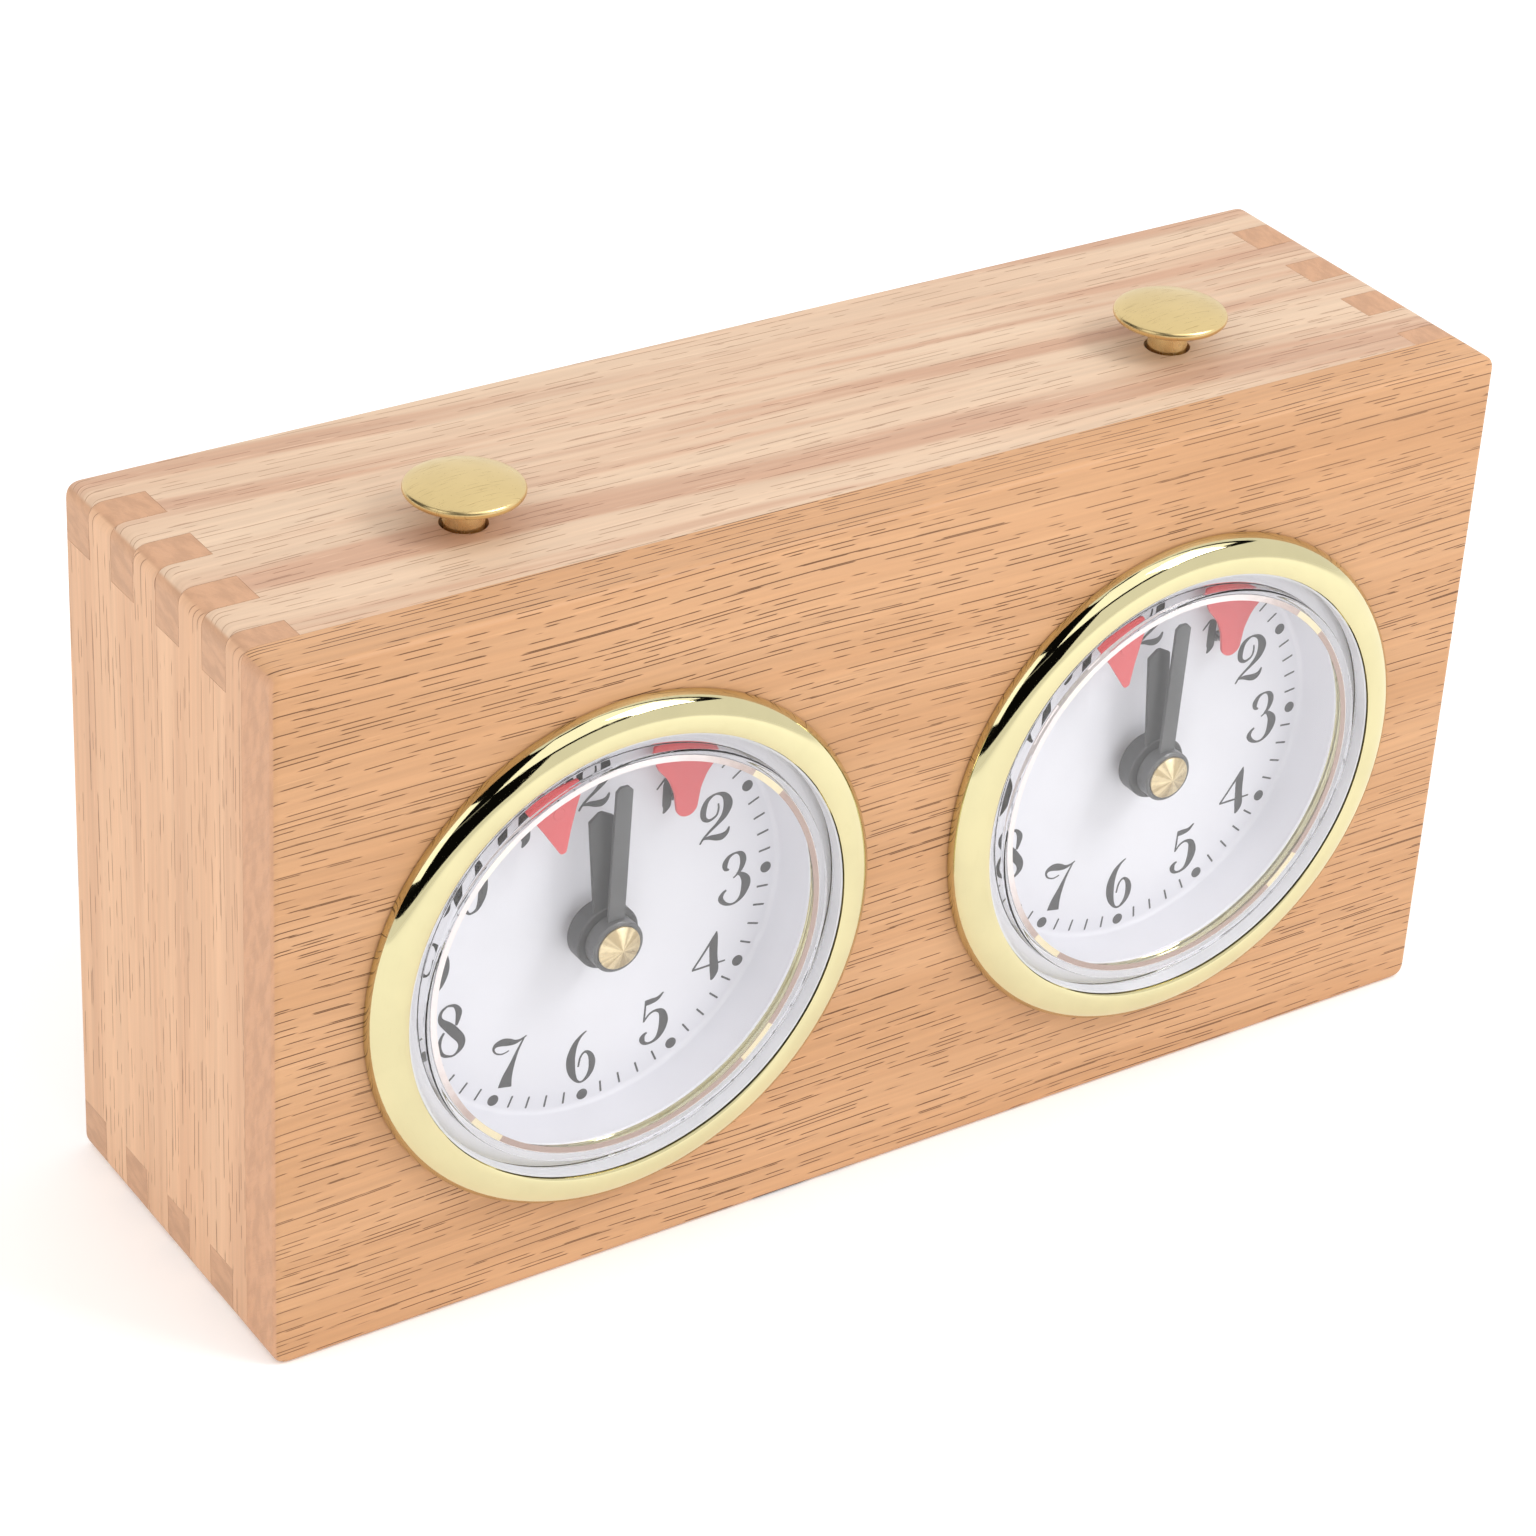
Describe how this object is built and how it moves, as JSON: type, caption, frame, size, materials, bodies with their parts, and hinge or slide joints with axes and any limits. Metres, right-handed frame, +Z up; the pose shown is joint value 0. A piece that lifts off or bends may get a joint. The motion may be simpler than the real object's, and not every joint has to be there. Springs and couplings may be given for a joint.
{
  "type": "chess clock",
  "caption": "Wind-up chess clock: two dials with flags in a finger-jointed wooden case, and two buttons on a rocker that stop one movement and start the other.",
  "frame": {"origin": "centre of the case's footprint, on the underside it stands on", "axes": "+X to the right seen from the front, +Y from the dials to the back, +Z up"},
  "size_m": [0.217, 0.0797, 0.1252],
  "materials": {
    "beech_front": "satin lacquer, orange-tan beech with dark pores",
    "beech_top": "satin lacquer, pale pinkish beech",
    "beech_side": "satin lacquer, pale pinkish beech, end grain at the joints",
    "plywood": "plain plywood back",
    "button_brass": "satin brass, finely scratched",
    "cap_brass": "turned brass",
    "key_brass": "plain brass",
    "movement_brass": "brushed brass",
    "polished_gold": "mirror-polished gold plate",
    "steel": "bright steel",
    "blued_steel": "spring steel",
    "clear_lens": "clear moulded plastic",
    "dial_white": "white enamel paint",
    "hand_black": "satin black paint",
    "flag_red": "red plastic"
  },
  "bodies": {
    "case": {"top_board": "beech_top", "bottom_board": "beech_top", "left_side_board": "beech_side", "right_side_board": "beech_side", "front_panel": "beech_front", "back_panel": "plywood", "left_batten": "beech_side", "right_batten": "beech_side", "lower_left_screw": "steel", "upper_left_screw": "steel", "lower_right_screw": "steel", "upper_right_screw": "steel", "rocker_bracket": "steel", "rocker_pin": "steel", "left_bezel": "polished_gold", "left_lens": "clear_lens", "left_dial": "dial_white", "left_movement_front_plate": "movement_brass", "left_movement_rear_plate": "movement_brass", "right_bezel": "polished_gold", "right_lens": "clear_lens", "right_dial": "dial_white", "right_movement_front_plate": "movement_brass", "right_movement_rear_plate": "movement_brass"},
    "rocker": {"rocker_lever": "movement_brass"},
    "left_button": {"left_button": "button_brass"},
    "right_button": {"right_button": "button_brass"},
    "left_minute": {"left_centre_arbor": "movement_brass", "left_minute_hand": "hand_black", "left_hand_cap": "cap_brass", "left_setting_knob": "steel"},
    "left_hour": {"left_hour_hand": "hand_black", "left_hour_wheel": "movement_brass"},
    "left_minute_wheel": {"left_minute_wheel": "movement_brass"},
    "left_barrel": {"left_spring_barrel": "movement_brass", "left_mainspring": "blued_steel"},
    "left_key": {"left_winding_key": "key_brass"},
    "left_third": {"left_third_wheel": "movement_brass"},
    "left_escape": {"left_escape_wheel": "movement_brass"},
    "left_balance": {"left_balance_wheel": "movement_brass"},
    "left_pallet": {"left_pallet_lever": "steel", "left_running_indicator": "flag_red"},
    "left_flag": {"left_fall_flag": "flag_red"},
    "right_minute": {"right_centre_arbor": "movement_brass", "right_minute_hand": "hand_black", "right_hand_cap": "cap_brass", "right_setting_knob": "steel"},
    "right_hour": {"right_hour_hand": "hand_black", "right_hour_wheel": "movement_brass"},
    "right_minute_wheel": {"right_minute_wheel": "movement_brass"},
    "right_barrel": {"right_spring_barrel": "movement_brass", "right_mainspring": "blued_steel"},
    "right_key": {"right_winding_key": "key_brass"},
    "right_third": {"right_third_wheel": "movement_brass"},
    "right_escape": {"right_escape_wheel": "movement_brass"},
    "right_balance": {"right_balance_wheel": "movement_brass"},
    "right_pallet": {"right_pallet_lever": "steel", "right_running_indicator": "flag_red"},
    "right_flag": {"right_fall_flag": "flag_red"}
  },
  "joints": [
    {"name": "rocker_tilt", "type": "hinge", "parent": "case", "child": "rocker", "pos_m": [0, -0.00525, 0.0987], "axis": [0, 1, 0], "range_deg": [-2.2, 2.2]},
    {"name": "left_button_press", "type": "slide", "parent": "case", "child": "left_button", "axis": [0, 0, 1], "range_m": [-0.0025, 0.0025]},
    {"name": "right_button_press", "type": "slide", "parent": "case", "child": "right_button", "axis": [0, 0, 1], "range_m": [-0.0025, 0.0025]},
    {"name": "left_minute_hand_turn", "type": "hinge", "parent": "case", "child": "left_minute", "pos_m": [-0.0511, -0.01225, 0.0561], "axis": [0, 1, 0], "continuous": true},
    {"name": "left_hour_hand_turn", "type": "hinge", "parent": "case", "child": "left_hour", "pos_m": [-0.0511, -0.01225, 0.0561], "axis": [0, 1, 0], "continuous": true},
    {"name": "left_minute_wheel_turn", "type": "hinge", "parent": "case", "child": "left_minute_wheel", "pos_m": [-0.05956, -0.01225, 0.05302], "axis": [0, 1, 0], "continuous": true},
    {"name": "left_barrel_turn", "type": "hinge", "parent": "case", "child": "left_barrel", "pos_m": [-0.0511, -0.01225, 0.0417], "axis": [0, 1, 0], "continuous": true},
    {"name": "left_third_wheel_turn", "type": "hinge", "parent": "case", "child": "left_third", "pos_m": [-0.04071, -0.01225, 0.0621], "axis": [0, 1, 0], "continuous": true},
    {"name": "left_escape_wheel_turn", "type": "hinge", "parent": "case", "child": "left_escape", "pos_m": [-0.03197, -0.01225, 0.06845], "axis": [0, 1, 0], "continuous": true},
    {"name": "left_winding_key_turn", "type": "hinge", "parent": "case", "child": "left_key", "pos_m": [-0.0511, -0.01225, 0.0417], "axis": [0, 1, 0], "continuous": true},
    {"name": "left_balance_swing", "type": "hinge", "parent": "case", "child": "left_balance", "pos_m": [-0.0511, -0.01225, 0.0761], "axis": [0, 1, 0], "range_deg": [-200, 200], "stiffness_Nm_per_rad": 0.000012},
    {"name": "left_pallet_rock", "type": "hinge", "parent": "case", "child": "left_pallet", "pos_m": [-0.0371, -0.01225, 0.0741], "axis": [0, 1, 0], "range_deg": [-5, 5]},
    {"name": "left_fall_flag_lift", "type": "hinge", "parent": "case", "child": "left_flag", "pos_m": [-0.061, -0.01225, 0.0811], "axis": [0, -1, 0], "range_deg": [0, 80]},
    {"name": "right_minute_hand_turn", "type": "hinge", "parent": "case", "child": "right_minute", "pos_m": [0.0511, -0.01225, 0.0561], "axis": [0, 1, 0], "continuous": true},
    {"name": "right_hour_hand_turn", "type": "hinge", "parent": "case", "child": "right_hour", "pos_m": [0.0511, -0.01225, 0.0561], "axis": [0, 1, 0], "continuous": true},
    {"name": "right_minute_wheel_turn", "type": "hinge", "parent": "case", "child": "right_minute_wheel", "pos_m": [0.04264, -0.01225, 0.05302], "axis": [0, 1, 0], "continuous": true},
    {"name": "right_barrel_turn", "type": "hinge", "parent": "case", "child": "right_barrel", "pos_m": [0.0511, -0.01225, 0.0417], "axis": [0, 1, 0], "continuous": true},
    {"name": "right_third_wheel_turn", "type": "hinge", "parent": "case", "child": "right_third", "pos_m": [0.06149, -0.01225, 0.0621], "axis": [0, 1, 0], "continuous": true},
    {"name": "right_escape_wheel_turn", "type": "hinge", "parent": "case", "child": "right_escape", "pos_m": [0.07023, -0.01225, 0.06845], "axis": [0, 1, 0], "continuous": true},
    {"name": "right_winding_key_turn", "type": "hinge", "parent": "case", "child": "right_key", "pos_m": [0.0511, -0.01225, 0.0417], "axis": [0, 1, 0], "continuous": true},
    {"name": "right_balance_swing", "type": "hinge", "parent": "case", "child": "right_balance", "pos_m": [0.0511, -0.01225, 0.0761], "axis": [0, 1, 0], "range_deg": [-200, 200], "stiffness_Nm_per_rad": 0.000012},
    {"name": "right_pallet_rock", "type": "hinge", "parent": "case", "child": "right_pallet", "pos_m": [0.0651, -0.01225, 0.0741], "axis": [0, 1, 0], "range_deg": [-5, 5]},
    {"name": "right_fall_flag_lift", "type": "hinge", "parent": "case", "child": "right_flag", "pos_m": [0.0412, -0.01225, 0.0811], "axis": [0, -1, 0], "range_deg": [0, 80]}
  ],
  "couplings": [
    {"joint": "left_button_press", "follows": "rocker_tilt", "m_per_rad": 0.0635},
    {"joint": "right_button_press", "follows": "rocker_tilt", "m_per_rad": -0.0635},
    {"joint": "left_hour_hand_turn", "follows": "left_minute_hand_turn", "ratio": 0.083333},
    {"joint": "left_minute_wheel_turn", "follows": "left_minute_hand_turn", "ratio": -0.33333},
    {"joint": "left_barrel_turn", "follows": "left_minute_hand_turn", "ratio": -0.2},
    {"joint": "left_third_wheel_turn", "follows": "left_minute_hand_turn", "ratio": -4},
    {"joint": "left_escape_wheel_turn", "follows": "left_minute_hand_turn", "ratio": 16},
    {"joint": "left_pallet_rock", "follows": "left_balance_swing", "ratio": 0.025},
    {"joint": "right_hour_hand_turn", "follows": "right_minute_hand_turn", "ratio": 0.083333},
    {"joint": "right_minute_wheel_turn", "follows": "right_minute_hand_turn", "ratio": -0.33333},
    {"joint": "right_barrel_turn", "follows": "right_minute_hand_turn", "ratio": -0.2},
    {"joint": "right_third_wheel_turn", "follows": "right_minute_hand_turn", "ratio": -4},
    {"joint": "right_escape_wheel_turn", "follows": "right_minute_hand_turn", "ratio": 16},
    {"joint": "right_pallet_rock", "follows": "right_balance_swing", "ratio": 0.025}
  ]
}
